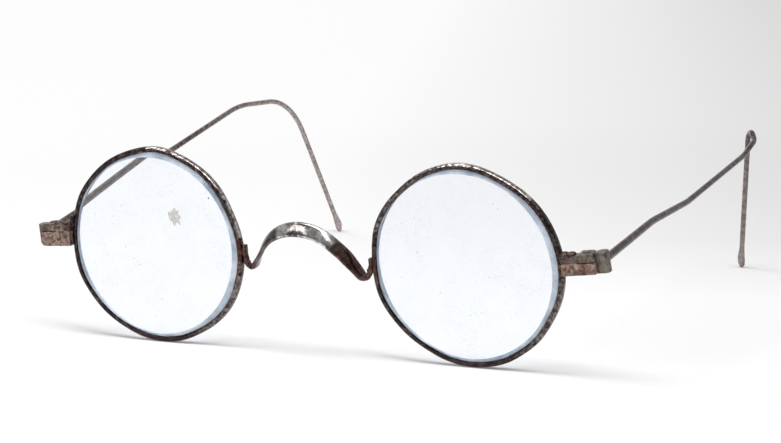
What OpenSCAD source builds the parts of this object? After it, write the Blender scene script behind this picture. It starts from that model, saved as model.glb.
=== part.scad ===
// Round wire-rim spectacles with split joints and hooked wire temples.
// X runs across the face with the wearer's left at +X, Y runs towards the back of the head, Z is up.
// The spectacles stand on the two rims and on the tips of the two temples, all at Z = 0.

/* [Front] */
// Distance between the centres of the two lenses
lens_centres = 64.3; // [60:0.1:70]
// Outer diameter of each rim
rim_d = 37.4; // [34:0.1:40]
// Thickness of the rim wire, measured along the radius
rim_wall = 1.2; // [0.9:0.05:1.4]
// Depth of the rim wire from front to back
rim_depth = 1.6; // [1.4:0.05:2.2]
// Radius on the outer corners of the rim wire
rim_round = 0.4; // [0.2:0.05:0.6]
// Depth of the groove that holds the lens
groove_d = 0.4; // [0.3:0.05:0.55]
// Width of the groove at its mouth
groove_w = 1; // [0.8:0.05:1.2]
// Angle that each rim has turned out of line, one forwards and one backwards
rim_turn = 1.5; // [0:0.1:4]
// Angle that the front leans forwards when the spectacles stand on a table
front_lean = 4.1; // [2:0.1:8]

/* [Lenses] */
// Radius of the two convex faces of a lens
lens_curve = 210; // [120:5:400]
// Width of the ground bevel round both faces of a lens
lens_bevel_w = 1; // [0.5:0.1:1.8]
// Depth of the ground bevel
lens_bevel_d = 0.3; // [0.1:0.05:0.5]
// Play between the edge of the lens and its groove
lens_play = 0.03; // [0.02:0.01:0.08]

/* [Bridge] */
// Width of the flattened band at the crest
band_w = 2.65; // [2:0.1:4]
// Thickness of the flattened band at the crest
band_t = 0.9; // [0.7:0.05:1.3]
// Thickness of the wire in the dips beside the rims
dip_wire = 1.1; // [0.9:0.05:1.3]
// Bend radius of the dips beside the rims, at the middle of the wire
dip_r = 1; // [0.8:0.05:1.5]
// Length of the straight leg between the dip and the crest
leg_l = 4.2; // [2:0.1:6]
// Angle of the legs above the horizontal
leg_angle = 56; // [45:1:65]
// How far the crest stands forward of the rims
crest_forward = 2.8; // [0:0.1:5]
// Roll of the band at the crest: at 0 it stands upright, and above 0 its lower edge comes forward
crest_roll = 25; // [0:1:60]
// Roll of the band where its legs meet the crest
leg_roll = 60; // [0:1:90]
// Width of the band where its legs leave the dips
leg_w = 2.5; // [1.2:0.05:3]
// How far the feet reach below the centres of the rims
foot_low = 1.45; // [1:0.1:4]
// How far the right foot reaches above the centre of the rim
right_foot_high = 1.3; // [0.1:0.1:4]
// How far the left foot reaches above the centre of the rim
left_foot_high = 0.4; // [0.1:0.1:4]
// Thickness of the feet against the rims
foot_t = 0.8; // [0.7:0.05:1.3]
// Width of the feet from front to back
foot_w = 1.3; // [1.1:0.05:2]

/* [Joint blocks] */
// Height of the split above the centre of the rim
joint_rise = 2; // [0:0.1:5]
// Depth of the blocks from front to back, and diameter of their round ends
joint_depth = 3.5; // [3.2:0.1:4.5]
// Distance from the rim to the hinge pin
pivot_x = 4.45; // [4.3:0.05:6]
// Distance from the rim to the closing screw
screw_x = 1.5; // [1.3:0.05:1.7]
// How far the right block's front lip reaches past the hinge pin
right_lip = 2.25; // [1.8:0.05:2.4]
// How far the left block's front lip reaches past the hinge pin
left_lip = 1.95; // [1.8:0.05:2.4]
// Height of the upper half at the closing screw
upper_h = 1.1; // [0.95:0.05:1.6]
// Extra height of the raised pad over the hinge pin
pad_h = 0.45; // [0.2:0.05:0.8]
// Distance from the right rim to the notch beside the raised pad
right_notch_x = 3.1; // [2.7:0.05:3.1]
// Distance from the left rim to the notch beside the raised pad
left_notch_x = 2.6; // [2.55:0.05:3.1]
// Height of the lower half of the right joint
right_lower_h = 2.95; // [1.6:0.05:3.5]
// Height of the lower half of the left joint
left_lower_h = 2.2; // [1.6:0.05:3.5]
// Angle that the right joint points up from the rim
right_cant = -3.5; // [-8:0.5:8]
// Angle that the left joint points up from the rim
left_cant = 6.5; // [-8:0.5:8]
// Size of the brazing fillet between the right joint and its rim
right_fillet = 1.9; // [0.2:0.1:2.2]
// Size of the brazing fillet between the left joint and its rim
left_fillet = 0.8; // [0.2:0.1:2.2]
// Gap between the two halves of a joint
split_gap = 0.1; // [0.05:0.01:0.2]
// Rounding of the lips' front corners
lip_round = 0.4; // [0.3:0.05:0.6]
// Bevel on the outer edges of the blocks
block_bevel = 0.25; // [0.1:0.05:0.4]

/* [Screws and pins] */
// Diameter of the closing screws
screw_d = 0.8; // [0.6:0.05:1]
// Diameter of the closing screws' heads
screw_head_d = 1.9; // [1.5:0.05:2.1]
// Height of the closing screws' heads
screw_head_h = 0.55; // [0.4:0.05:0.8]
// Width and depth of the screwdriver slot
slot_w = 0.25; // [0.2:0.05:0.35]
// Diameter of the hinge pins
pin_d = 0.9; // [0.7:0.05:1.1]
// Diameter of the hinge pins' riveted heads
pin_head_d = 1.5; // [1.3:0.05:1.8]
// Height of the hinge pins' riveted heads
pin_head_h = 0.14; // [0.08:0.02:0.3]
// Radial clearance of the screws and pins in the blocks
fixed_play = 0.01; // [0.01:0.01:0.03]
// Radial clearance of the hinge pin in the temple's tongue
running_play = 0.05; // [0.02:0.01:0.08]

/* [Temple joints] */
// Diameter of the tongue's round end
tongue_d = 2.4; // [2:0.05:2.6]
// Thickness of the tongue
tongue_t = 0.9; // [0.7:0.05:1]
// Width of the tongue's neck
neck_w = 1.4; // [1:0.05:1.6]
// Clearance above, below and round the tongue in its pocket
tongue_play = 0.06; // [0.04:0.01:0.1]
// Diameter of the upright post
post_d = 2; // [1.7:0.05:2.4]
// Distance from the post to the round end of the block
post_gap = 0.14; // [0.1:0.01:0.25]
// How far the post stands behind the hinge pin
post_back = 0.7; // [0.4:0.05:0.9]
// Height of the right post above the split
right_post_up = 1.2; // [0.8:0.05:2]
// Height of the left post above the split
left_post_up = 1.6; // [0.8:0.05:2]
// Depth of the right post below the split
right_post_down = 2.9; // [1.5:0.05:3.4]
// Depth of the left post below the split
left_post_down = 2.4; // [1.5:0.05:3]
// Bevel on the ends of the posts
post_bevel = 0.2; // [0.1:0.05:0.35]

/* [Temple wires] */
// Width of the wire where it leaves the post
root_w = 1.1; // [0.9:0.05:1.2]
// Height of the wire where it leaves the post
root_h = 1.45; // [1.1:0.05:1.8]
// Diameter of the wire behind the ear
wire_d = 1.1; // [0.9:0.05:1.4]
// Length over which the wire tapers from its root to its round part
taper_l = 62; // [30:1:66]
// Length of the flattened tip
tip_l = 7; // [4:0.5:10]
// Width of the flattened tip
tip_w = 2.6; // [1.6:0.1:3.4]
// Thickness of the flattened tip
tip_t = 0.8; // [0.6:0.05:1]
// Height of the right wire's root above the split
right_root_z = -0.6; // [-1:0.05:0.4]
// Height of the left wire's root above the split
left_root_z = -0.1; // [-1:0.05:0.6]
// Straight length of the wire before it bends at its root
root_l = 0.5; // [0.3:0.1:1]
// Bend radius of the wire at its root
root_r = 6; // [4:0.5:10]

/* [Right temple bends] */
// Upward angle of the right wire at its root
right_rise = 9.1; // [0:0.1:14]
// Inward angle of the right wire at its root
right_inset = 1.7; // [0:0.1:5]
// Length of the right wire's straight run
right_run = 68.6; // [60:0.2:80]
// Radius of the first, gentle bend over the ear
right_shoulder_r = 30; // [15:1:50]
// Angle of the first, gentle bend over the ear
right_shoulder = 15.3; // [5:0.1:30]
// Straight length between the two bends over the ear
right_link = 8.6; // [2:0.1:15]
// Radius of the main bend over the ear
right_hook_r = 16.3; // [8:0.1:22]
// Angle of the main bend over the ear
right_hook = 58.8; // [45:0.1:70]

/* [Left temple bends] */
// Upward angle of the left wire at its root
left_rise = 0.2; // [-3:0.1:8]
// Inward angle of the left wire at its root
left_inset = 1; // [0:0.1:5]
// Length of the left wire before its dent
left_run = 21.9; // [15:0.1:30]
// Angle of the dent in the left wire
left_dent = 4.8; // [0:0.1:8]
// Bend radius at the front of the dent
left_dent_r = 30; // [15:1:40]
// Bend radius at the back of the dent
left_dent_back_r = 25; // [15:1:40]
// Length of the dented stretch
left_dent_l = 16.8; // [10:0.1:24]
// Length of the left wire behind its dent
left_back_run = 32.7; // [26:0.1:40]
// Upward angle of the wire where it nears the ear
left_upturn = 8.1; // [0:0.1:14]
// Bend radius where the wire nears the ear
left_upturn_r = 20; // [10:1:30]
// Length of the wire where it nears the ear
left_upturn_l = 5.4; // [3:0.1:10]
// Upward angle of the crook just before the ear
left_crook = 14.3; // [0:0.1:25]
// Inward angle of the crook just before the ear
left_crook_in = 24.6; // [0:0.1:35]
// Radius of the crook just before the ear
left_crook_r = 5; // [3:0.1:10]
// Straight length between the crook and the hook
left_link = 0.95; // [0.5:0.05:3]
// Radius of the hook over the ear
left_hook_r = 3; // [2.4:0.1:8]
// Angle of the hook over the ear
left_hook = 92; // [75:0.5:110]
// Inward turn of the wire over the hook
left_hook_in = 24; // [0:0.5:30]

/* [Hidden] */

// The two sides of the wearer, as signs along X
right = -1;
left = 1;

// Colours of old steel and glass
rim_colour = [0.27, 0.22, 0.20];
joint_colour = [0.45, 0.39, 0.34];
pin_colour = [0.32, 0.26, 0.22];
wire_colour = [0.40, 0.36, 0.34];
bridge_colour = [0.36, 0.27, 0.25];
lens_colour = [0.88, 0.94, 0.98, 0.45];

// Small amounts used everywhere: a seat between touching faces, and how far a cut runs past what it cuts
seat = 0.01;
over = 1;
far = 3 * joint_depth;

// Small amounts with one use each
edge_break = 0.1;
flat_margin = 0.05;
block_root = rim_wall + 0.3;
split_bevel = 0.08;
pad_round = pad_h + 0.25;
notch_slope = 0.45;
notch_foot = 0.2;
notch_d = 0.04;
head_land = 0.05;
screw_end = 0.2;
head_dome = 0.2;
tongue_cover = 0.3;

// Squareness of the wire's root and of the bridge's band, and the reach of a full corner
root_square = 0.55;
band_square = 0.5;
corner_reach = 0.62;

// Sizes that follow from the driving dimensions
rim_r = rim_d / 2;
rim_inner_r = rim_r - rim_wall;
groove_tip_w = groove_w / 5;
lens_r = rim_inner_r - lens_play;
block_end_r = joint_depth / 2;
pin_r = pin_d / 2;
screw_r = screw_d / 2;
lip_side = block_end_r / 2;
tongue_r = tongue_d / 2;
post_r = post_d / 2;
pocket_h = tongue_t + 2 * tongue_play;
pad_top = upper_h + pad_h;
post_x = pivot_x + sqrt(pow(block_end_r + post_gap + post_r, 2) - pow(post_back, 2));
post_flat_y = post_back + sqrt(pow(post_r, 2) - pow(root_w / 2 + flat_margin, 2));
neck_front_y = post_back - post_r + flat_margin;

function of_side(s, on_right, on_left) = s == right ? on_right : on_left;
function lower_h(s) = of_side(s, right_lower_h, left_lower_h);
function cant(s) = of_side(s, right_cant, left_cant);
function notch_at(s) = of_side(s, right_notch_x, left_notch_x);
function lip(s) = of_side(s, right_lip, left_lip);
function fillet(s) = of_side(s, right_fillet, left_fillet);
function post_up(s) = of_side(s, right_post_up, left_post_up);
function post_down(s) = of_side(s, right_post_down, left_post_down);
function smooth(t) = t <= 0 ? 0 : t >= 1 ? 1 : t * t * (3 - 2 * t);
function mix(a, b, t) = a + (b - a) * t;
function arc(c, r, a0, a1, n) = [for (i = [0:n]) c + r * [cos(mix(a0, a1, i / n)), sin(mix(a0, a1, i / n))]];

// Turns of a point about the X and the Y axis
function turn_x(p, a) = [p[0], p[1] * cos(a) - p[2] * sin(a), p[1] * sin(a) + p[2] * cos(a)];
function turn_y(p, a) = [p[0] * cos(a) + p[2] * sin(a), p[1], p[2] * cos(a) - p[0] * sin(a)];

// A point in a joint's own frame, taken to the front's frame and then to the standing one before it is lifted
function joint_to_front(s, p) =
    let (q = turn_y(p, -cant(s)), r = [s * (rim_r + q[0]), q[1], joint_rise + q[2]])
    turn_x(r, s * rim_turn) + [s * lens_centres / 2, 0, 0];
function lean(p) = turn_x(p, front_lean);
function joint_to_stand(s, p) = lean(joint_to_front(s, p));

// Lowest height of the rims before they are lifted
function rim_low(s) = -rim_r * cos(front_lean + s * rim_turn)
    - (rim_depth / 2 - rim_round) * sin(abs(front_lean + s * rim_turn));
stand_low = min(rim_low(right), rim_low(left));

// A wire is bent from rows of [straight feed, bend radius, upward bend, inward turn].
// Each row becomes short steps of [length, upward bend, inward turn].
feed_step = 7;
bend_step = 7.5;
function row_turn(row, pitch) = norm([row[2], row[3] * cos(pitch + row[2] / 2)]);
function feed_steps(l) = let (n = max(1, ceil(l / feed_step))) [for (i = [1:n]) [l / n, 0, 0]];
function bend_steps(row, pitch) =
    let (a = row_turn(row, pitch), n = max(2, ceil(a / bend_step)), l = row[1] * a * PI / 180 / n)
    [for (i = [1:n]) [l, row[2] / n, row[3] / n]];
function row_pitch(rows, i) = i <= 0 ? 0 : row_pitch(rows, i - 1) + rows[i - 1][2];
function wire_steps(rows) = [
    for (i = [0:len(rows) - 1])
        each concat(feed_steps(rows[i][0]), bend_steps(rows[i], row_pitch(rows, i)))];
function heading(pitch, yaw) = [-sin(yaw) * cos(pitch), cos(yaw) * cos(pitch), sin(pitch)];

// Stations along the wire, each [point, pitch, yaw, length so far]
function next_station(st, step) = [
    st[0] + step[0] * heading(st[1] + step[1] / 2, st[2] + step[2] / 2),
    st[1] + step[1], st[2] + step[2], st[3] + step[0]];
function stations(start, steps) = [
    for (i = 0, st = start; i <= len(steps); st = i < len(steps) ? next_station(st, steps[i]) : st, i = i + 1) st];

// Rounded section with 12 sides: full width and height, and a squareness from 0 for an ellipse to 1 for a box
section_n = 12;
function section_point(w, h, square, i) =
    let (a = (i + 0.5) * 360 / section_n, c = cos(a), s = sin(a),
         k = mix(1, min(1 / abs(c), 1 / abs(s)), square * corner_reach))
    [w / 2 * c * k, h / 2 * s * k];
function ring(st, w, h, square) = [
    for (i = [0:section_n - 1])
        let (q = section_point(w, h, square, i), across = [cos(st[2]), sin(st[2]), 0],
             up = cross(across, heading(st[1], st[2])))
        st[0] + q[0] * across + q[1] * up];

// Width, height and squareness of a temple wire at a distance from its root
function taper(l) = smooth(l / taper_l);
function wire_w(l) = mix(root_w, wire_d, taper(l));
function wire_h(l) = mix(root_h, wire_d, taper(l));
function wire_square(l) = mix(root_square, 0, taper(l));

// Flattened tip, as shares of its length with its width, thickness and the share of each that is reached
tip_shape = [[0.15, 0.02], [0.3, 0.14], [0.45, 0.45], [0.6, 0.82], [0.72, 1], [0.84, 0.97], [0.93, 0.76], [1, 0.36]];
function tip_steps() = [for (i = [0:len(tip_shape) - 1])
    [tip_l * (tip_shape[i][0] - (i == 0 ? 0 : tip_shape[i - 1][0])), 0, 0]];
function tip_ring(st, i) =
    let (k = tip_shape[i][1], flat = min(1, max(0, tip_shape[i][0] * 1.6)),
         end = i < 4 ? 1 : sqrt(k))
    ring(st, mix(wire_d, tip_t, smooth(flat)) * end, i < 4 ? mix(wire_d, tip_w, k) : tip_w * k, 0);

function wire_rows(s) = of_side(s,
    [[root_l, root_r, right_rise, right_inset],
     [right_run, right_shoulder_r, -right_shoulder, 0],
     [right_link, right_hook_r, -right_hook, 0]],
    [[root_l, root_r, left_rise, left_inset],
     [left_run, left_dent_r, -left_dent, 0],
     [left_dent_l, left_dent_back_r, left_dent, 0],
     [left_back_run, left_upturn_r, left_upturn, 0],
     [left_upturn_l, left_crook_r, left_crook, left_crook_in],
     [left_link, left_hook_r, -left_hook, left_hook_in]]);
function wire_root(s) = [[post_x, post_flat_y, of_side(s, right_root_z, left_root_z)], 0, 0, 0];
function wire_bent(s) = stations(wire_root(s), wire_steps(wire_rows(s)));

// The straight drop behind the ear is as long as it takes for the tip to reach the table
function tip_stations(st) = stations(st, tip_steps());
function tip_rings(st) = let (t = tip_stations(st)) [for (i = [1:len(t) - 1]) tip_ring(t[i], i - 1)];
function drop_l(s) =
    let (bent = wire_bent(s), end = bent[len(bent) - 1],
         low = min([for (r = tip_rings(end), p = r) joint_to_stand(s, p)[2]]),
         fall = joint_to_stand(s, heading(end[1], end[2]))[2] - joint_to_stand(s, [0, 0, 0])[2])
    (stand_low - low) / fall;
function wire_stations(s) =
    let (bent = wire_bent(s), n = len(bent)) concat([for (i = [0:n - 2]) bent[i]],
        stations(bent[n - 1], feed_steps(drop_l(s))));
function wire_rings(s) =
    let (st = wire_stations(s)) concat(
        [for (q = st) ring(q, wire_w(q[3]), wire_h(q[3]), wire_square(q[3]))],
        tip_rings(st[len(st) - 1]));

// Bridge, drawn in the front's frame on the wearer's left and mirrored for the right.
// Each station is [[x, z], direction of travel in the XZ plane, width, thickness, roll, y].
function foot_r(thick) = rim_r + thick / 2 + seat;
leave_r = foot_r(dip_wire);
foot_a = asin(foot_low / leave_r);
dip_c = [lens_centres / 2 - (leave_r + dip_r) * cos(foot_a), -(leave_r + dip_r) * sin(foot_a)];
crest_r = (dip_c[0] - dip_r * sin(leg_angle) - leg_l * cos(leg_angle)) / sin(leg_angle);
leg_low = dip_c - dip_r * [sin(leg_angle), cos(leg_angle)];
leg_high = leg_low + leg_l * [-cos(leg_angle), sin(leg_angle)];
crest_z = leg_high[1] + crest_r * (1 - cos(leg_angle));
function arch_y(z) = -crest_forward * pow(max(0, z - leg_low[1]) / (crest_z - leg_low[1]), 1.2);
function foot_station(t, top_a) =
    let (a = mix(-top_a, foot_a, t), k = smooth(t * 3 - 2), thick = mix(foot_t, dip_wire, k), r = foot_r(thick))
    [[lens_centres / 2 - r * cos(a), -r * sin(a)], a - 90, mix(foot_w, dip_wire, k), thick, 90, 0];
function dip_station(t) =
    let (a = mix(foot_a, -90 - leg_angle, t), p = dip_c + dip_r * [cos(a), sin(a)])
    [p, a - 90, mix(dip_wire, leg_w, smooth(t * 2 - 1)), dip_wire, 90, 0];
function leg_station(t) =
    let (p = mix(leg_low, leg_high, t))
    [p, 180 - leg_angle, mix(leg_w, band_w, smooth(t)), mix(dip_wire, band_t, smooth(t)), mix(90, leg_roll, t),
     arch_y(p[1])];
function crest_station(t) =
    let (a = mix(leg_angle, 0, t), p = [crest_r * sin(a), crest_z - crest_r * (1 - cos(a))])
    [p, 180 - a, band_w, band_t, mix(leg_roll, crest_roll, smooth(t)), arch_y(p[1])];
function bridge_half(high) = let (top_a = asin(high / foot_r(foot_t))) concat(
    [for (i = [0:4]) foot_station(i / 4, top_a)],
    [for (i = [1:10]) dip_station(i / 10)],
    [for (i = [1:6]) leg_station(i / 6)],
    [for (i = [1:12]) crest_station(i / 12)]);

// Ring of the band: its width points to the inside of the curve and rolls forwards
function bridge_ring(b) =
    let (x = b[0][0], z = b[0][1], slope = b[5] < 0 ? (arch_y(z + 0.05) - arch_y(z - 0.05)) / 0.1 : 0,
         dx = cos(b[1]), dz = sin(b[1]), t = [dx, slope * dz, dz] / norm([dx, slope * dz, dz]),
         inward = cross([0, -1, 0], t) / norm(cross([0, -1, 0], t)), front = cross(t, inward),
         w = inward * cos(b[4]) + front * sin(b[4]), n = cross(w, t))
    [for (i = [0:section_n - 1])
        let (q = section_point(b[2], b[3], band_square, i)) [x, b[5], z] + q[0] * w + q[1] * n];
left_rings = [for (b = bridge_half(left_foot_high)) bridge_ring(b)];
right_rings = [for (b = bridge_half(right_foot_high)) [for (p = bridge_ring(b)) [-p[0], p[1], p[2]]]];
bridge_rings = concat(left_rings, [for (i = [len(right_rings) - 2:-1:0]) right_rings[i]]);

// Front and back of the standing spectacles, for the origin in the middle of them
front_y = min([for (r = bridge_rings, p = r) lean(p)[1]]);
back_y = max([for (s = [right, left], r = wire_rings(s), p = r) joint_to_stand(s, p)[1]]);
stand_shift = [0, -(front_y + back_y) / 2, -stand_low];

// Frames: the standing front, each rim on it, and each joint on its rim
module stand() {
    translate(stand_shift) rotate([front_lean, 0, 0]) children();
}
module on_rim(s) {
    stand() translate([s * lens_centres / 2, 0, 0]) rotate([s * rim_turn, 0, 0]) children();
}
module on_joint(s) {
    on_rim(s) mirror([s == right ? 1 : 0, 0, 0]) translate([rim_r, 0, joint_rise]) rotate([0, -cant(s), 0]) children();
}

// Skin over rings of equal length, closed at both ends
module loft(rings) {
    m = len(rings[0]);
    n = len(rings);
    points = [for (r = rings) each r];
    sides = [for (k = [0:n - 2], i = [0:m - 1])
        let (j = (i + 1) % m, a = k * m + i, b = k * m + j, c = a + m, d = b + m) each [[a, b, d], [a, d, c]]];
    start = [for (i = [1:m - 2]) [0, i + 1, i]];
    end = [for (i = [1:m - 2]) [(n - 1) * m, (n - 1) * m + i, (n - 1) * m + i + 1]];
    polyhedron(points = points, faces = [for (f = concat(sides, start, end)) [f[2], f[1], f[0]]]);
}

// Eyewire: rounded outside, with a V groove for the lens, and cut through at the joint
module rim(s) {
    h = rim_depth / 2;
    c = rim_round;
    profile = concat(
        arc([rim_r - c, -h + c], c, -90, 0, 5),
        arc([rim_r - c, h - c], c, 0, 90, 5),
        [[rim_inner_r + edge_break, h], [rim_inner_r, h - edge_break], [rim_inner_r, groove_w / 2],
         [rim_inner_r + groove_d, groove_tip_w / 2], [rim_inner_r + groove_d, -groove_tip_w / 2],
         [rim_inner_r, -groove_w / 2], [rim_inner_r, -h + edge_break], [rim_inner_r + edge_break, -h]]);
    difference() {
        on_rim(s) rotate([90, 0, 0]) rotate_extrude($fn = 160) polygon(profile);
        on_joint(s) translate([-rim_wall - over, -rim_depth, -split_gap / 2])
            cube([rim_wall + 2 * over, 2 * rim_depth, split_gap]);
    }
}

// Lens: two convex faces with a ground bevel round them, and a sharper edge in the rim's groove
module lens(s) {
    edge = groove_w / 2 - lens_play;
    tip = groove_tip_w / 2 - lens_play / 2;
    tip_r = rim_inner_r + groove_d - lens_play;
    face_r = lens_r - lens_bevel_w;
    face_y = edge + lens_bevel_d;
    n = 14;
    function sag(r) = sqrt(pow(lens_curve, 2) - pow(r, 2)) - sqrt(pow(lens_curve, 2) - pow(face_r, 2));
    front = concat([for (i = [0:n]) [face_r * i / n, face_y + sag(face_r * i / n)]], [[lens_r, edge], [tip_r, tip]]);
    back = [for (i = [len(front) - 1:-1:0]) [front[i][0], -front[i][1]]];
    on_rim(s) rotate([90, 0, 0]) rotate_extrude($fn = 160) polygon(concat(front, back));
}

// Bridge: a wire flattened to a saddle, dipped beside each rim and brazed up along it
module bridge() {
    stand() loft(bridge_rings);
}

// Plan of a block, drawn in by an amount: straight sides, a front lip that covers the joint, a round end behind it
module block_plan(s, in) {
    r = lip_round;
    end = pivot_x + lip(s);
    side = block_end_r - in;
    polygon(concat([[-block_root, side], [-block_root, -side]],
        arc([end - r, r - block_end_r], r - in, -90, 0, 5),
        [[end - in, -lip_side]],
        arc([pivot_x, 0], side, 5, 90, 16)));
}

// Upright slab on that plan with bevelled top and bottom edges
module block_slab(s, low, high, bevel_low, bevel_high) {
    hull() {
        translate([0, 0, low]) linear_extrude(seat) block_plan(s, bevel_low);
        translate([0, 0, low + bevel_low]) linear_extrude(high - low - bevel_low - bevel_high) block_plan(s, 0);
        translate([0, 0, high - seat]) linear_extrude(seat) block_plan(s, bevel_high);
    }
}

// Room for the post in front of the block's end
module post_room() {
    translate([post_x, post_back, 0]) cylinder(r = post_r + post_gap - 2 * seat, h = far, center = true, $fn = 64);
}

// Pocket between the halves, open at the end and at the back, where the temple's tongue turns
module tongue_pocket() {
    play = tongue_play;
    reach = neck_front_y + neck_w + 2 * play;
    translate([pivot_x, 0, -pocket_h / 2]) {
        cylinder(r = tongue_r + play, h = pocket_h, $fn = 64);
        translate([-reach, neck_front_y - 1.5 * play, 0])
            cube([reach + block_end_r + over, block_end_r + over - neck_front_y, pocket_h]);
    }
}

// Space of the rim, for the hollow end of a block that is brazed to it
module rim_space() {
    translate([-rim_r, 0, -joint_rise]) rotate([90, 0, 0]) cylinder(r = rim_r + seat, h = far, center = true, $fn = 160);
}
module cut_by_rim(s) {
    difference() {
        children(0);
        rotate([0, cant(s), 0]) rim_space();
    }
}

// Holes for the closing screw and the hinge pin
module block_holes() {
    translate([screw_x, 0, 0]) cylinder(r = screw_r + fixed_play, h = far, center = true, $fn = 48);
    translate([pivot_x, 0, 0]) cylinder(r = pin_r + fixed_play, h = far, center = true, $fn = 48);
}

// Side view of the upper half: flat at the screw, a notch, a raised pad with a rounded end
module upper_side(s) {
    f = fillet(s);
    notch_x = notch_at(s);
    low = split_gap / 2;
    end = pivot_x + block_end_r;
    r = pad_round;
    head_r = screw_head_d / 2 + head_land;
    land = screw_x - head_r;
    polygon(concat(
        [[-block_root, low], [end + over, low], [end + over, pad_top - r], [end, pad_top - r]],
        arc([end - r, pad_top - r], r, 0, 90, 6),
        [[notch_x + notch_slope, pad_top], [notch_x + notch_foot, upper_h + 2 * notch_d],
         [notch_x, upper_h - notch_d], [screw_x + head_r, upper_h], [land, upper_h]],
        [for (i = [1:5]) let (a = 90 * i / 5) [land - (land + rim_wall / 2) * sin(a), upper_h + f * (1 - cos(a))]],
        [[-block_root, upper_h + f]]));
}

// Upper half of a split joint
module joint_upper(s) {
    on_joint(s) difference() {
        cut_by_rim(s) intersection() {
            rotate([90, 0, 0]) linear_extrude(joint_depth + over, center = true) upper_side(s);
            block_slab(s, split_gap / 2, pad_top + fillet(s), split_bevel, seat);
        }
        tongue_pocket();
        post_room();
        block_holes();
    }
}

// Lower half of a split joint
module joint_lower(s) {
    on_joint(s) difference() {
        cut_by_rim(s) block_slab(s, -lower_h(s), -split_gap / 2, block_bevel, split_bevel);
        tongue_pocket();
        post_room();
        block_holes();
    }
}

// Closing screw: domed head with a slot, its shank through both halves
module closing_screw(s) {
    dome = head_dome;
    low = screw_end - lower_h(s);
    on_joint(s) translate([screw_x, 0, 0]) difference() {
        union() {
            translate([0, 0, low]) cylinder(r = screw_r, h = upper_h + seat - low, $fn = 48);
            translate([0, 0, upper_h + seat]) cylinder(d = screw_head_d, h = screw_head_h - dome, $fn = 48);
            translate([0, 0, upper_h + seat + screw_head_h - dome])
                cylinder(r1 = screw_head_d / 2, r2 = screw_head_d / 2 - dome, h = dome, $fn = 48);
        }
        translate([-screw_head_d, -slot_w / 2, upper_h + screw_head_h - slot_w])
            cube([2 * screw_head_d, slot_w, 2 * slot_w]);
    }
}

// Hinge pin: riveted over the raised pad and under the lower half
module hinge_pin(s) {
    low = -lower_h(s) - seat;
    high = pad_top + seat;
    on_joint(s) translate([pivot_x, 0, 0]) {
        translate([0, 0, low]) cylinder(r = pin_r, h = high - low, $fn = 48);
        translate([0, 0, high]) cylinder(r1 = pin_head_d / 2, r2 = pin_head_d / 2 - pin_head_h, h = pin_head_h, $fn = 48);
        translate([0, 0, low - pin_head_h])
            cylinder(r2 = pin_head_d / 2, r1 = pin_head_d / 2 - pin_head_h, h = pin_head_h, $fn = 48);
    }
}

// Temple joint: an upright post with a flat at the back for the wire, and a tongue that turns on the hinge pin
module temple_joint(s) {
    b = post_bevel;
    up = post_up(s);
    down = post_down(s);
    on_joint(s) difference() {
        union() {
            translate([post_x, post_back, -down]) rotate([0, 0, 90]) rotate_extrude($fn = 64)
                polygon([[0, 0], [post_r - b, 0], [post_r, b], [post_r, down + up - b],
                    [post_r - b, down + up], [0, down + up]]);
            translate([pivot_x, 0, -tongue_t / 2]) cylinder(r = tongue_r, h = tongue_t, $fn = 64);
            translate([pivot_x, neck_front_y, -tongue_t / 2]) cube([post_x + tongue_cover - pivot_x, neck_w, tongue_t]);
        }
        translate([post_x - post_d, post_flat_y, -down - over]) cube([2 * post_d, post_d, down + up + 2 * over]);
        translate([pivot_x, 0, -over]) cylinder(r = pin_r + running_play, h = 2 * over, $fn = 64);
    }
}

// Temple wire: squarish at the root, round behind the ear, flattened at the tip
module temple_wire(s) {
    on_joint(s) loft(wire_rings(s));
}

color(rim_colour) rim(right);  // right_rim
color(rim_colour) rim(left);  // left_rim
color(lens_colour) lens(right);  // right_lens
color(lens_colour) lens(left);  // left_lens
color(bridge_colour) bridge();
color(joint_colour) joint_upper(right);  // right_joint_upper
color(joint_colour) joint_upper(left);  // left_joint_upper
color(joint_colour) joint_lower(right);  // right_joint_lower
color(joint_colour) joint_lower(left);  // left_joint_lower
color(pin_colour) for (s = [right, left]) closing_screw(s);  // closing_screws
color(pin_colour) for (s = [right, left]) hinge_pin(s);  // hinge_pins
color(joint_colour) temple_joint(right);  // right_temple_joint
color(joint_colour) temple_joint(left);  // left_temple_joint
color(wire_colour) temple_wire(right);  // right_temple_wire
color(wire_colour) temple_wire(left);  // left_temple_wire
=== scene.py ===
"""Old round wire-rim spectacles on a pale studio floor.

Sizes are in millimetres, as in the CAD part, and are turned into metres where the meshes are placed.
"""
import math
import bmesh
import bpy
import numpy as np
from mathutils import Matrix, Vector
from mathutils.geometry import delaunay_2d_cdt


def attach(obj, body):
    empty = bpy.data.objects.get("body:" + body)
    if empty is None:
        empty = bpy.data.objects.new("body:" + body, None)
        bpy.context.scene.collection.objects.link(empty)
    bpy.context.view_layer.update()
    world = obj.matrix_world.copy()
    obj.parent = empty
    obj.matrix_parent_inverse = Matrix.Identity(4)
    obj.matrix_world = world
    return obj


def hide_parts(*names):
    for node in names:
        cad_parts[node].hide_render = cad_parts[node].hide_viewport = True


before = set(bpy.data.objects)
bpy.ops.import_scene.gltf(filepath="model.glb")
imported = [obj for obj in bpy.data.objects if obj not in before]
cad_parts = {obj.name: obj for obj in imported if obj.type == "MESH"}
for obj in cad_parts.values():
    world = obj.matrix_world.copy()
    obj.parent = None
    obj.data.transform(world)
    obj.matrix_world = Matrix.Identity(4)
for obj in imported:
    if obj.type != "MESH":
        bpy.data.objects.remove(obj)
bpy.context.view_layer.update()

MM = 0.001
RIGHT, LEFT = -1, 1
NAME = {RIGHT: "right", LEFT: "left"}

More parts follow.
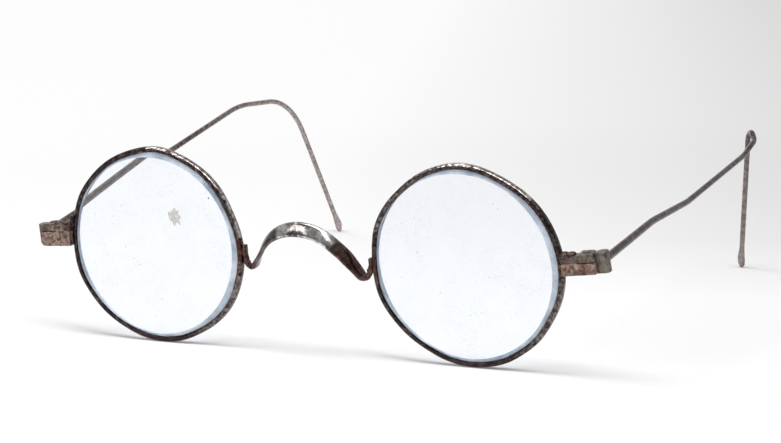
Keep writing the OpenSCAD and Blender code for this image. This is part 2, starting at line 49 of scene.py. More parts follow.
# Sizes that repeat those of the CAD part, in millimetres and degrees
CENTRES, RIM_R, RIM_WALL, RIM_DEPTH, RIM_ROUND = 64.3, 18.7, 1.2, 1.6, 0.4
GROOVE_D, GROOVE_W, GROOVE_TIP = 0.4, 1.0, 0.2
RIM_TURN, LEAN, SEAT, SPLIT = 1.5, 4.1, 0.01, 0.1
LENS_PLAY, BEVEL_D = 0.03, 0.3
JOINT_RISE, PIVOT_X, BLOCK_R = 2.0, 4.45, 1.75
CANT = {RIGHT: -3.5, LEFT: 6.5}
POST_R, POST_GAP, POST_BACK = 1.0, 0.14, 0.7
BAND_W, BAND_T, DIP_WIRE, DIP_R, LEG_L, LEG_A = 2.65, 0.9, 1.1, 1.0, 4.2, 56.0
CREST_FORWARD, CREST_ROLL, LEG_ROLL, LEG_W = 2.8, 25.0, 60.0, 2.5
FOOT_LOW, FOOT_T, FOOT_W = 1.45, 0.8, 1.3
FOOT_HIGH = {RIGHT: 1.3, LEFT: 0.4}
ROOT_W, ROOT_H, WIRE_D, TAPER_L = 1.1, 1.45, 1.1, 62.0
TIP_L, TIP_W, TIP_T = 7.0, 2.6, 0.8
ROOT_Z = {RIGHT: -0.6, LEFT: -0.1}
# Bends of each temple wire from the post on: straight run, bend radius, turn upwards, turn inwards
ROWS = {
    RIGHT: [(0.5, 6, 9.1, 1.7), (68.6, 30, -15.3, 0), (8.6, 16.3, -58.8, 0)],
    LEFT: [(0.5, 6, 0.2, 1.0), (21.9, 30, -4.8, 0), (16.8, 25, 4.8, 0), (32.7, 20, 8.1, 0),
           (5.4, 5, 14.3, 24.6), (0.95, 3, -92, 24)],
}
# Shape of the flattened tip: place along it and width there, both as shares of the whole
TIP_SHAPE = [(0, 0), (0.15, 0.02), (0.3, 0.14), (0.45, 0.45), (0.6, 0.82), (0.72, 1), (0.84, 0.97),
             (0.93, 0.76), (1, 0.36)]
POST_X = PIVOT_X + math.sqrt((BLOCK_R + POST_GAP + POST_R) ** 2 - POST_BACK ** 2)
POST_FLAT = POST_BACK + math.sqrt(POST_R ** 2 - (ROOT_W / 2 + 0.05) ** 2)


def rad(a):
    return math.radians(a)


def smooth(t):
    t = min(1.0, max(0.0, t))
    return t * t * (3 - 2 * t)


def mix(a, b, t):
    return a + (b - a) * t


def turn_x(p, a):
    p = np.asarray(p, float)
    c, s = math.cos(rad(a)), math.sin(rad(a))
    return np.stack([p[..., 0], p[..., 1] * c - p[..., 2] * s, p[..., 1] * s + p[..., 2] * c], -1)


def turn_y(p, a):
    p = np.asarray(p, float)
    c, s = math.cos(rad(a)), math.sin(rad(a))
    return np.stack([p[..., 0] * c + p[..., 2] * s, p[..., 1], p[..., 2] * c - p[..., 0] * s], -1)


# Frames: a rim's and a joint's own frame, the front's frame, and the front as it stands on the floor
def rim_low(s):
    a = rad(LEAN + s * RIM_TURN)
    return -RIM_R * math.cos(a) - (RIM_DEPTH / 2 - RIM_ROUND) * math.sin(abs(a))


LOW = min(rim_low(RIGHT), rim_low(LEFT))


def rim_to_front(s, p):
    return turn_x(p, s * RIM_TURN) + np.array([s * CENTRES / 2, 0, 0])


def joint_to_front(s, p):
    q = turn_y(p, -CANT[s])
    q = np.stack([s * (RIM_R + q[..., 0]), q[..., 1], JOINT_RISE + q[..., 2]], -1)
    return rim_to_front(s, q)


def stand(p):
    return turn_x(p, LEAN)


def place(front_points):
    """Points of the front's frame in the scene's frame, in metres."""
    return (stand(front_points) + np.array([0, SHIFT_Y, -LOW])) * MM


# Temple wires: the same bends as in the CAD part, in finer steps
def heading(pitch, yaw):
    level = math.cos(rad(pitch))
    return np.array([-math.sin(rad(yaw)) * level, math.cos(rad(yaw)) * level, math.sin(rad(pitch))])


def run(st, l, dp, dy):
    p, pitch, yaw, far = st
    return (p + l * heading(pitch + dp / 2, yaw + dy / 2), pitch + dp, yaw + dy, far + l)


def feed(sts, l, step):
    n = max(1, math.ceil(l / step))
    for _ in range(n):
        sts.append(run(sts[-1], l / n, 0, 0))


def bent_wire(s):
    """Stations of a wire from its post to the start of its tip: place, pitch, yaw and length so far."""
    sts = [(np.array([POST_X, POST_FLAT, ROOT_Z[s]]), 0.0, 0.0, 0.0)]
    pitch = 0.0
    for l, r, up, turn_in in ROWS[s]:
        feed(sts, l, 1.5)
        a = math.hypot(up, turn_in * math.cos(rad(pitch + up / 2)))
        n = max(2, math.ceil(a / 2.5))
        for _ in range(n):
            sts.append(run(sts[-1], r * rad(a) / n, up / n, turn_in / n))
        pitch += up
    return sts


def section(w, h, square, n):
    """Outline of a wire: round where square is 0, nearly square where it is 1."""
    a = (np.arange(n) + 0.5) * 2 * math.pi / n
    c, s = np.cos(a), np.sin(a)
    k = 1 + (np.minimum(1 / np.abs(c), 1 / np.abs(s)) - 1) * square * 0.62
    return np.stack([w / 2 * c * k, h / 2 * s * k], -1)


WIRE_POINTS = 28


def wire_ring(st, w, h, square):
    q = section(w, h, square, WIRE_POINTS)
    across = np.array([math.cos(rad(st[2])), math.sin(rad(st[2])), 0])
    up = np.cross(across, heading(st[1], st[2]))
    return st[0] + q[:, :1] * across + q[:, 1:] * up


def tip_share(t):
    """Width of the tip at a share of its length, on a smooth curve through TIP_SHAPE."""
    x, y = zip(*TIP_SHAPE)
    last = len(x) - 1
    i = max(k for k in range(last) if x[k] <= t or k == 0)

    def slope(k):
        a, b = max(k - 1, 0), min(k + 1, last)
        return (y[b] - y[a]) / (x[b] - x[a])

    d = x[i + 1] - x[i]
    u = (t - x[i]) / d
    return ((2 * u ** 3 - 3 * u ** 2 + 1) * y[i] + (u ** 3 - 2 * u ** 2 + u) * d * slope(i)
            + (-2 * u ** 3 + 3 * u ** 2) * y[i + 1] + (u ** 3 - u ** 2) * d * slope(i + 1))


def tip_rings(st):
    """Rings of the flattened tip: it widens to a paddle and ends in a round edge."""
    steps, widest = 32, 0.62
    out = []
    for i in range(1, steps + 1):
        t = i / steps
        k = max(0.0, tip_share(t))
        narrow = t < widest
        end = 1 if narrow else math.sqrt(min(1, k))
        w = mix(WIRE_D, TIP_T, smooth(min(1, t * 1.6))) * end
        h = mix(WIRE_D, TIP_W, k) if narrow else TIP_W * min(1, k)
        out.append(wire_ring(run(st, TIP_L * t, 0, 0), w, h, 0))
    here = run(st, TIP_L, 0, 0)
    out.append(wire_ring(here, w * 0.6, h * 0.6, 0) + 0.08 * heading(st[1], st[2]))
    return out


def wire_rings(s):
    """Rings of a whole temple wire, its last straight run long enough for the tip to touch the floor."""
    sts = bent_wire(s)
    end = sts[-1]
    tip = np.concatenate(tip_rings(end)[:-1])
    low = stand(joint_to_front(s, tip))[:, 2].min()
    fall = (stand(joint_to_front(s, heading(end[1], end[2]))) - stand(joint_to_front(s, np.zeros(3))))[2]
    feed(sts, (LOW - low) / fall, 1.5)
    rings = []
    for st in sts:
        k = smooth(st[3] / TAPER_L)
        rings.append(wire_ring(st, mix(ROOT_W, WIRE_D, k), mix(ROOT_H, WIRE_D, k), mix(0.55, 0, k)))
    return [joint_to_front(s, r) for r in rings + tip_rings(sts[-1])]


# Bridge: the same wire as in the CAD part, with more rings
def foot_r(thick):
    return RIM_R + thick / 2 + SEAT


LEAVE_R = foot_r(DIP_WIRE)
FOOT_A = math.degrees(math.asin(FOOT_LOW / LEAVE_R))
DIP_C = (np.array([CENTRES / 2, 0])
         - (LEAVE_R + DIP_R) * np.array([math.cos(rad(FOOT_A)), math.sin(rad(FOOT_A))]))
LEG_LOW = DIP_C - DIP_R * np.array([math.sin(rad(LEG_A)), math.cos(rad(LEG_A))])
LEG_HIGH = LEG_LOW + LEG_L * np.array([-math.cos(rad(LEG_A)), math.sin(rad(LEG_A))])
CREST_R = LEG_HIGH[0] / math.sin(rad(LEG_A))
CREST_Z = LEG_HIGH[1] + CREST_R * (1 - math.cos(rad(LEG_A)))


def arch_y(z):
    return -CREST_FORWARD * (max(0.0, z - LEG_LOW[1]) / (CREST_Z - LEG_LOW[1])) ** 1.2


def foot_station(s, t):
    top = math.degrees(math.asin(FOOT_HIGH[s] / foot_r(FOOT_T)))
    a, k = rad(mix(-top, FOOT_A, t)), smooth(t * 3 - 2)
    thick = mix(FOOT_T, DIP_WIRE, k)
    r = foot_r(thick)
    way = math.degrees(a) - 90
    return (CENTRES / 2 - r * math.cos(a), -r * math.sin(a), way, mix(FOOT_W, DIP_WIRE, k), thick, 90, 0)


def dip_station(t):
    a = rad(mix(FOOT_A, -90 - LEG_A, t))
    x, z = DIP_C + DIP_R * np.array([math.cos(a), math.sin(a)])
    return (x, z, math.degrees(a) - 90, mix(DIP_WIRE, LEG_W, smooth(t * 2 - 1)), DIP_WIRE, 90, 0)


def leg_station(t):
    x, z = LEG_LOW + (LEG_HIGH - LEG_LOW) * t
    w, thick = mix(LEG_W, BAND_W, smooth(t)), mix(DIP_WIRE, BAND_T, smooth(t))
    return (x, z, 180 - LEG_A, w, thick, mix(90, LEG_ROLL, t), arch_y(z))


def crest_station(t):
    a = rad(mix(LEG_A, 0, t))
    x, z = CREST_R * math.sin(a), CREST_Z - CREST_R * (1 - math.cos(a))
    return (x, z, 180 - math.degrees(a), BAND_W, BAND_T, mix(LEG_ROLL, CREST_ROLL, smooth(t)), arch_y(z))


def bridge_stations(s):
    """Stations of half the bridge, foot to crest: x, z, heading, width, thickness, roll and y."""
    out = [foot_station(s, i / 13) for i in range(14)]
    out += [dip_station(i / 30) for i in range(1, 31)]
    out += [leg_station(i / 14) for i in range(1, 15)]
    return out + [crest_station(i / 36) for i in range(1, 37)]


BRIDGE_POINTS = 32


def bridge_ring(b):
    """Outline of the bridge at one of its stations, square to the way it runs."""
    x, z, way, w, h, roll, y = b
    slope = (arch_y(z + 0.05) - arch_y(z - 0.05)) / 0.1 if y < 0 else 0
    t = np.array([math.cos(rad(way)), slope * math.sin(rad(way)), math.sin(rad(way))])
    t /= np.linalg.norm(t)
    inward = np.cross([0, -1, 0], t)
    inward /= np.linalg.norm(inward)
    front = np.cross(t, inward)
    across = inward * math.cos(rad(roll)) + front * math.sin(rad(roll))
    normal = np.cross(across, t)
    q = section(w, h, 0.5, BRIDGE_POINTS)
    return np.array([x, y, z]) + q[:, :1] * across + q[:, 1:] * normal


# The rounded end of a foot: the share of its outline that is left, and how far it reaches on
FOOT_END = ((0.55, 0.0), (0.86, -0.05), (1, -0.2))


def bridge_rings():
    def half(s):
        first, *others = [bridge_ring(b) for b in bridge_stations(s)]
        back = first.mean(0)
        cap = [back + (first - back) * k + np.array([0, 0, d]) for k, d in FOOT_END]
        return [r * np.array([s, 1, 1]) for r in cap + others]
    left, right = half(LEFT), half(RIGHT)
    return left + right[-2::-1]


# Where the photo's bridge hangs lower and looks broader than the CAD's:
# distance from its middle towards the wearer's left, how far it hangs down, and how many times as broad it is
BENT = ((-12.9, 0.0, 1.0), (-12.0, 0.3, 1.0), (-9.0, 0.4, 1.0), (-3.0, 0.42, 1.05), (0.0, 0.45, 1.08),
        (3.5, 0.55, 1.1), (5.0, 0.72, 1.1), (7.0, 1.1, 1.12), (11.0, 1.2, 1.12), (12.2, 0.75, 1.05),
        (12.9, 0.0, 1.0))


def bent_down(ring):
    """One ring of the bridge, let down and spread as the photo's bridge is."""
    mid = ring.mean(0)
    at, drop, spread = zip(*BENT)
    return mid + (ring - mid) * np.interp(mid[0], at, spread) - np.array([0, 0, np.interp(mid[0], at, drop)])


def ends_y():
    front = min(stand(r)[:, 1].min() for r in bridge_rings())
    back = max(stand(r)[:, 1].max() for s in (RIGHT, LEFT) for r in wire_rings(s))
    return front, back


# The CAD's origin is in the middle between the bridge's front and the tips of the temples
SHIFT_Y = -sum(ends_y()) / 2


# Mesh helpers
def new_object(name, verts, faces, sharp=None):
    """Smooth-shaded mesh object; edges sharper than the angle sharp stay sharp."""
    me = bpy.data.meshes.new(name)
    me.from_pydata([tuple(v) for v in verts], [], faces)
    me.validate()
    me.update()
    for p in me.polygons:
        p.use_smooth = True
    if sharp:
        me.set_sharp_from_angle(angle=rad(sharp))
    ob = bpy.data.objects.new(name, me)
    bpy.context.scene.collection.objects.link(ob)
    return ob


def loft_faces(n, m):
    """Faces of n rings of m points, with a cap at each end."""
    faces = [(k * m + i, k * m + (i + 1) % m, (k + 1) * m + (i + 1) % m, (k + 1) * m + i)
             for k in range(n - 1) for i in range(m)]
    faces.append(tuple(range(m - 1, -1, -1)))
    faces.append(tuple(range((n - 1) * m, n * m)))
    return faces


def egg(centre, radii):
    """Points and faces of a closed egg."""
    (cx, cy, cz), (rx, ry, rz) = centre, radii
    n, m = 14, 20
    down = [math.pi * (k + 0.5) / n for k in range(n)]
    around = [2 * math.pi * i / m for i in range(m)]
    pts = [(cx + rx * math.sin(a) * math.cos(b), cy + ry * math.sin(a) * math.sin(b), cz + rz * math.cos(a))
           for a in down for b in around]
    return np.array(pts), loft_faces(n, m)


def recalc(ob):
    """Turns all faces outward."""
    bm = bmesh.new()
    bm.from_mesh(ob.data)
    bmesh.ops.recalc_face_normals(bm, faces=bm.faces)
    bm.to_mesh(ob.data)
    bm.free()


CELL_PRIMES = np.array([73856093, 19349663, 83492791])


def noise3(p, scale, seed):
    """Smooth value noise from 0 to 1 at points p, one random value a cell of 1/scale."""
    q = np.asarray(p, float) * scale + seed * 17.31
    i = np.floor(q).astype(np.int64)
    f = q - i
    f = f * f * (3 - 2 * f)
    out = np.zeros(len(q))
    for corner in np.ndindex(2, 2, 2):
        h = np.bitwise_xor.reduce((i + corner) * CELL_PRIMES, axis=1) ^ (seed * 2654435)
        h = (h ^ (h >> 13)) * 1274126177
        v = ((h ^ (h >> 16)) & 0xFFFF) / 65535.0
        out += v * np.where(corner, f, 1 - f).prod(axis=1)
    return out


def wear(ob, pits, dents, seed, pit_scale, dent_scale):
    """Moves each point inward a little: fine rust pits and slow dents, in millimetres."""
    me = ob.data
    co, no = np.empty(len(me.vertices) * 3), np.empty(len(me.vertices) * 3)
    me.vertices.foreach_get("co", co)
    me.vertex_normals.foreach_get("vector", no)
    co, no = co.reshape(-1, 3), no.reshape(-1, 3)
    mm = co / MM
    fine = noise3(mm, pit_scale, seed) * 0.6 + noise3(mm, pit_scale * 2.3, seed + 3) * 0.4
    where = np.clip((noise3(mm, 0.8, seed + 5) - 0.35) * 2.5, 0, 1)
    pit = np.clip((fine - 0.55) * 3.2, 0, 1) * where
    slow = noise3(mm, dent_scale, seed + 9)
    co = co - no * ((pit * pits + slow * dents) * MM)[:, None]
    me.vertices.foreach_set("co", co.ravel())
    me.update()


# Camera, in the front's own frame in millimetres and degrees, fitted to the outlines of both rims
F_PX, W_PX, H_PX = 2430.9, 781, 443
CAM_AT = np.array([210.857, -374.999, 111.973])
CAM_TURN, CAM_DIP, CAM_ROLL = 27.277, 13.921, 3.631


def camera_axes():
    """The camera's right, up and forward, from its turn to the wearer's right, its dip and its roll."""
    fwd = heading(-CAM_DIP, CAM_TURN)
    level = heading(0, CAM_TURN - 90)
    up = np.cross(level, fwd)
    c, s = math.cos(rad(CAM_ROLL)), math.sin(rad(CAM_ROLL))
    return level * c - up * s, up * c + level * s, fwd


def lens_spot(s, px, py):
    """The place, from a lens's middle, that shows at a pixel of the photo."""
    right, up, fwd = camera_axes()
    p = turn_x(CAM_AT - np.array([s * CENTRES / 2, 0, 0]), -s * RIM_TURN)
    d = turn_x(fwd + right * (px - W_PX / 2) / F_PX - up * (py - H_PX / 2) / F_PX, -s * RIM_TURN)
    q = p - d * (p[1] + FACE_Y) / d[1]
    return q[0], q[2]


def make_camera():
    """The camera that took the photo, turned with the front as it stands on the floor."""
    right, up, fwd = (turn_x(v, LEAN) for v in camera_axes())
    where = place(CAM_AT)
    sensor = 36
    cam = bpy.data.cameras.new("camera")
    cam.lens = sensor * F_PX / W_PX
    cam.sensor_width = sensor
    cam.sensor_fit = "HORIZONTAL"
    cam.clip_start = 0.01
    ob = bpy.data.objects.new("camera", cam)
    ob.matrix_world = Matrix([(right[i], up[i], -fwd[i], where[i]) for i in range(3)] + [(0, 0, 0, 1)])
    bpy.context.scene.collection.objects.link(ob)
    bpy.context.scene.camera = ob


# Node helpers
def nodes_of(name):
    """New material with its node tree, its surface shader and its output."""
    m = bpy.data.materials.new(name)
    m.use_nodes = True
    nt = m.node_tree
    nt.nodes.clear()
    out = nt.nodes.new("ShaderNodeOutputMaterial")
    bsdf = nt.nodes.new("ShaderNodeBsdfPrincipled")
    nt.links.new(bsdf.outputs[0], out.inputs[0])
    return m, nt, bsdf, out


def coords_of(nt, kind="Object"):
    return nt.nodes.new("ShaderNodeTexCoord").outputs[kind]


def axes_of(nt, coord):
    sep = nt.nodes.new("ShaderNodeSeparateXYZ")
    nt.links.new(coord, sep.inputs[0])
    return sep.outputs


def noise_node(nt, coord, scale, detail, rough, distortion=0.0, offset=(0, 0, 0)):
    mp = nt.nodes.new("ShaderNodeMapping")
    mp.inputs["Location"].default_value = offset
    nt.links.new(coord, mp.inputs["Vector"])
    t = nt.nodes.new("ShaderNodeTexNoise")
    t.inputs["Scale"].default_value = scale
    t.inputs["Detail"].default_value = detail
    t.inputs["Roughness"].default_value = rough
    t.inputs["Distortion"].default_value = distortion
    nt.links.new(mp.outputs[0], t.inputs["Vector"])
    return t.outputs["Fac"]


def ramp(nt, fac, stops):
    r = nt.nodes.new("ShaderNodeValToRGB")
    cr = r.color_ramp
    while len(cr.elements) < len(stops):
        cr.elements.new(0.5)
    for e, (pos, col) in zip(cr.elements, stops):
        e.position = pos
        e.color = (*col, 1)
    nt.links.new(fac, r.inputs["Fac"])
    return r.outputs["Color"]


def mixc(nt, fac, a, b, mode="MIX"):
    m = nt.nodes.new("ShaderNodeMix")
    m.data_type = "RGBA"
    m.blend_type = mode
    for sock, v in ((m.inputs["Factor"], fac), (m.inputs[6], a), (m.inputs[7], b)):
        if isinstance(v, (int, float)):
            sock.default_value = v
        elif isinstance(v, tuple):
            sock.default_value = (*v, 1)
        else:
            nt.links.new(v, sock)
    return m.outputs[2]


def maths(nt, op, a, b=0.5, clamp=False):
    m = nt.nodes.new("ShaderNodeMath")
    m.operation = op
    m.use_clamp = clamp
    for sock, v in ((m.inputs[0], a), (m.inputs[1], b)):
        if isinstance(v, (int, float)):
            sock.default_value = v
        else:
            nt.links.new(v, sock)
    return m.outputs[0]


def blend_of(nt, a, share_a, b, share_b):
    return maths(nt, "ADD", maths(nt, "MULTIPLY", a, share_a), maths(nt, "MULTIPLY", b, share_b))


def add_bump(nt, bsdf, height, strength, depth):
    """Bump of a depth in millimetres."""
    bump = nt.nodes.new("ShaderNodeBump")
    bump.inputs["Strength"].default_value = strength
    bump.inputs["Distance"].default_value = depth * MM
    nt.links.new(height, bump.inputs["Height"])
    nt.links.new(bump.outputs[0], bsdf.inputs["Normal"])


def mix_shaders(nt, share, first, second, out):
    both = nt.nodes.new("ShaderNodeMixShader")
    for socket, source in zip(both.inputs, (share, first, second)):
        nt.links.new(source, socket)
    nt.links.new(both.outputs[0], out.inputs[0])


def grey(v):
    return (v, v, v)


def lin(r, g, b):
    """Linear colour of an sRGB one from 0 to 255."""
    def f(c):
        c /= 255
        return c / 12.92 if c <= 0.04045 else ((c + 0.055) / 1.055) ** 2.4
    return (f(r), f(g), f(b))


def darker(colour):
    return tuple(c * 0.55 for c in colour)


def patch(nt, coord, rag, spot, radius):
    """Share of a ragged patch round a spot: 0.8 in its middle, 0 at about its radius in millimetres."""
    d = nt.nodes.new("ShaderNodeVectorMath")
    d.operation = "DISTANCE"
    nt.links.new(coord, d.inputs[0])
    d.inputs[1].default_value = tuple(spot)
    fall = maths(nt, "SUBTRACT", 1.0, maths(nt, "DIVIDE", d.outputs["Value"], radius * MM))
    torn = maths(nt, "ADD", maths(nt, "MULTIPLY", fall, 1.1), maths(nt, "SUBTRACT", rag, 0.5))
    return maths(nt, "MULTIPLY", maths(nt, "MULTIPLY", torn, 2.0, True), 0.8)


# Materials
FAR_STEEL = (lin(140, 129, 125), lin(186, 178, 174))


def steel(name, base, dark, rust, bright, rust_at, seed, metallic, rough, pit, scale=1.0, spread=0.2,
          patches=(), paler=None):
    """Old steel: a base tone, darker patina, rust in patches, brighter rubbed places, and pits in the bump.

    patches are (spot, radius, low tone, high tone); paler is where along Y the steel turns pale, from and to.
    """
    m, nt, bsdf, _ = nodes_of(name)
    tc = coords_of(nt)
    off = (seed * 0.013, seed * 0.021, -seed * 0.017)
    broad = noise_node(nt, tc, 420 * scale, 3, 0.6, 0.4, off)
    mid = noise_node(nt, tc, 1500 * scale, 5, 0.62, 0.6, off)
    fine = noise_node(nt, tc, 5200 * scale, 4, 0.6, 0.0, off)
    tone = ramp(nt, mid, [(0.51 - spread, dark), (0.51, base), (0.51 + spread, bright)])
    uneven = blend_of(nt, broad, 0.6, mid, 0.4)
    rusty = ramp(nt, uneven, [(rust_at - 0.05, grey(0)), (rust_at + 0.05, grey(1))])
    colour = mixc(nt, rusty, tone, ramp(nt, fine, [(0.35, darker(rust)), (0.6, rust)]))
    for spot, radius, low, high in patches:
        share = patch(nt, tc, mid, spot, radius * 1.5)
        colour = mixc(nt, share, colour, ramp(nt, mid, [(0.42, low), (0.62, high)]))
    if paler:
        first, last = paler
        along = maths(nt, "DIVIDE", maths(nt, "SUBTRACT", axes_of(nt, tc)[1], first), last - first, True)
        pale = ramp(nt, mid, [(0.4, FAR_STEEL[0]), (0.62, FAR_STEEL[1])])
        colour = mixc(nt, maths(nt, "MULTIPLY", along, 0.9), colour, pale)
    speck = ramp(nt, fine, [(0.28, grey(0.35)), (0.42, grey(1))])
    nt.links.new(mixc(nt, 0.8, colour, speck, "MULTIPLY"), bsdf.inputs["Base Color"])
    shine = ramp(nt, blend_of(nt, rusty, 0.45, fine, 0.5),
                 [(0.15, grey(rough[0])), (0.8, grey(min(0.95, rough[1] + 0.15)))])
    nt.links.new(shine, bsdf.inputs["Roughness"])
    metal = ramp(nt, rusty, [(0.1, grey(metallic)), (0.9, grey(metallic * 0.25))])
    nt.links.new(metal, bsdf.inputs["Metallic"])
    add_bump(nt, bsdf, blend_of(nt, mid, 0.5, fine, 0.5), 0.5, pit)
    return m


def glass():
    """Old lens glass, faintly blue, with a thin uneven film of dust and handling."""
    m, nt, bsdf, out = nodes_of("lens_glass_clear")
    tc = coords_of(nt)
    cloud = noise_node(nt, tc, 150, 5, 0.65, 0.5)
    grain = noise_node(nt, tc, 2400, 3, 0.7)
    film = maths(nt, "MULTIPLY", ramp(nt, cloud, [(0.4, grey(0.25)), (0.68, grey(1))]),
                 ramp(nt, grain, [(0.5, grey(0.25)), (0.72, grey(1))]))
    tint = ramp(nt, cloud, [(0.35, (0.95, 0.972, 1.0)), (0.65, (0.92, 0.945, 0.98))])
    nt.links.new(tint, bsdf.inputs["Base Color"])
    nt.links.new(ramp(nt, film, [(0.0, grey(0.0)), (1.0, grey(0.06))]), bsdf.inputs["Roughness"])
    nt.links.new(ramp(nt, film, [(0.2, grey(1.0)), (1.0, grey(0.86))]), bsdf.inputs["Transmission Weight"])
    bsdf.inputs["IOR"].default_value = 1.52
    add_bump(nt, bsdf, cloud, 0.05, 0.003)
    clear = nt.nodes.new("ShaderNodeBsdfTransparent")
    clear.inputs["Color"].default_value = (0.86, 0.88, 0.9, 1)
    path = nt.nodes.new("ShaderNodeLightPath")
    mix_shaders(nt, path.outputs["Is Shadow Ray"], bsdf.outputs[0], clear.outputs[0], out)
    return m


def ground_bevel():
    """Ground edge of a lens: a fine matte grey-blue with broad cloudy changes of tone."""
    m, nt, bsdf, _ = nodes_of("lens_ground_bevel")
    tc = coords_of(nt)
    broad = noise_node(nt, tc, 260, 4, 0.6, 0.3)
    fine = noise_node(nt, tc, 3800, 3, 0.6)
    tone = ramp(nt, broad, [(0.3, lin(150, 162, 180)), (0.5, lin(188, 200, 216)), (0.7, lin(222, 230, 240))])
    grain = ramp(nt, fine, [(0.3, grey(0.5)), (0.6, grey(1))])
    nt.links.new(mixc(nt, 0.35, tone, grain, "MULTIPLY"), bsdf.inputs["Base Color"])
    nt.links.new(ramp(nt, fine, [(0.3, grey(0.25)), (0.7, grey(0.5))]), bsdf.inputs["Roughness"])
    add_bump(nt, bsdf, fine, 0.3, 0.01)
    return m


def flake(name, colour, rough=0.8, alpha=None):
    """Dust or bruised glass; alpha is how solid its thin and its thick places are."""
    m, nt, bsdf, _ = nodes_of(name)
    n = noise_node(nt, coords_of(nt), 2600, 4, 0.6, 0.5)
    nt.links.new(ramp(nt, n, [(0.3, darker(colour)), (0.62, colour)]), bsdf.inputs["Base Color"])
    bsdf.inputs["Roughness"].default_value = rough
    if alpha:
        nt.links.new(ramp(nt, n, [(0.3, grey(alpha[0])), (0.65, grey(alpha[1]))]), bsdf.inputs["Alpha"])
    return m


# Tones of the patches, low and high
RED_RUST = (lin(56, 33, 29), lin(100, 66, 56))
GREY_MOTTLE = (lin(58, 48, 46), lin(140, 130, 126))
DARK_PATINA = (lin(36, 26, 25), lin(66, 52, 49))
OCHRE = (lin(92, 66, 48), lin(158, 130, 102))
PIT = (lin(46, 31, 26), lin(84, 60, 50))
PALE = (lin(96, 72, 60), lin(180, 156, 140))
ORANGE_RUST = (lin(110, 64, 40), lin(160, 104, 68))
RED_BROWN = (lin(84, 50, 44), lin(130, 88, 78))
OLIVE = (lin(76, 68, 56), lin(116, 107, 90))
# Dark brown tone, used on top of the left upper half of the joint by the rim
DARK_BROWN = (lin(40, 26, 24), lin(72, 50, 45))
# Tone of painted shade
SHADE = (lin(26, 17, 16), lin(44, 31, 29))
# Painted highlights: pale steel tones for the places where the lamps' highlights fall on the bridge
PAINTED_HIGHLIGHT = (lin(190, 187, 186), lin(242, 241, 240))
PAINTED_HALF_HIGHLIGHT = (lin(120, 112, 110), lin(176, 170, 168))
BRIDGE_RED = (lin(60, 40, 36), lin(104, 76, 69))


def rim_spot(s, angle):
    """Place on the front of a rim, at an angle up from the wearer's left."""
    a = rad(angle)
    return place(rim_to_front(s, np.array([RIM_R * math.cos(a), -RIM_DEPTH / 2, RIM_R * math.sin(a)])))


def bridge_spot(x, z):
    return place(np.array([x, arch_y(z) - 0.6, z]))


def joint_spot(s, x, y, z):
    return place(joint_to_front(s, np.array([x, y, z], float)))


# Patches that the photo shows: where, radius in millimetres, and tones
RIM_PATCHES = [(rim_spot(s, angle), radius, *tones) for s, angle, radius, tones in (
    (RIGHT, -4, 3.5, RED_RUST), (RIGHT, -38, 8, GREY_MOTTLE), (RIGHT, -84, 6, DARK_PATINA),
    (RIGHT, 190, 5, DARK_PATINA), (LEFT, 184, 2.2, RED_RUST), (LEFT, -88, 6, DARK_PATINA),
    (LEFT, -28, 6, GREY_MOTTLE), (LEFT, 140, 6, GREY_MOTTLE))]
# On the bridge the pale patches are painted highlights on its crest and the wearer's left leg; the red ones
# are rust
BRIDGE_PATCHES = [(bridge_spot(x, z), radius, *tones) for x, z, radius, tones in (
    (-3.2, 5.6, 1.5, PAINTED_HIGHLIGHT), (-0.6, 6.1, 1.1, PAINTED_HALF_HIGHLIGHT), (3.4, 4.7, 2.2, PAINTED_HIGHLIGHT), (4.9, 3.7, 1.4, PAINTED_HIGHLIGHT),
    (8.9, 0.2, 2.6, BRIDGE_RED), (11.9, -2.6, 2.4, BRIDGE_RED), (13.2, -0.3, 1.6, BRIDGE_RED),
    (-12.0, -1.9, 1.6, BRIDGE_RED), (-13.2, -0.3, 1.8, BRIDGE_RED))]
# Painted shade: dark patches down the gap between the left block's round end and its post
POST_GAP_SHADE = [(joint_spot(LEFT, PIVOT_X + 1.62, -0.6, z), 0.42, *SHADE)
                  for z in (1.2, 0.6, 0.0, -0.6, -1.2, -1.8)]
LOWER_PATCHES = [(joint_spot(s, x, y, z), radius, *tones) for s, x, y, z, radius, tones in (
    (RIGHT, 1.0, -1.2, -1.0, 0.6, PIT), (RIGHT, 0.3, -1.2, -1.2, 0.5, PALE),
    (RIGHT, 2.2, -1.2, -1.2, 0.4, ORANGE_RUST), (LEFT, 0.8, -1.2, -0.9, 0.9, OCHRE),
    (LEFT, 2.6, -1.4, -2.0, 0.7, PIT), (LEFT, 3.9, -1.7, -2.1, 0.6, PIT),
    (LEFT, 4.3, -1.7, -0.9, 0.9, RED_BROWN))] + POST_GAP_SHADE
UPPER_PATCHES = [(joint_spot(s, x, y, z), radius, *tones) for s, x, y, z, radius, tones in (
    (RIGHT, 0.2, -1.2, 0.9, 0.9, RED_RUST), (RIGHT, 5.4, -1.7, 0.6, 0.9, OLIVE),
    (RIGHT, 3.6, -1.7, 0.1, 0.8, PALE), (RIGHT, 1.7, -1.4, 0.1, 0.6, PALE),
    (LEFT, 4.6, -1.7, 1.0, 1.1, OLIVE), (LEFT, 2.8, -1.6, 0.5, 0.8, OLIVE),
    (LEFT, 0.7, -0.8, 1.5, 1.2, DARK_BROWN))] + POST_GAP_SHADE

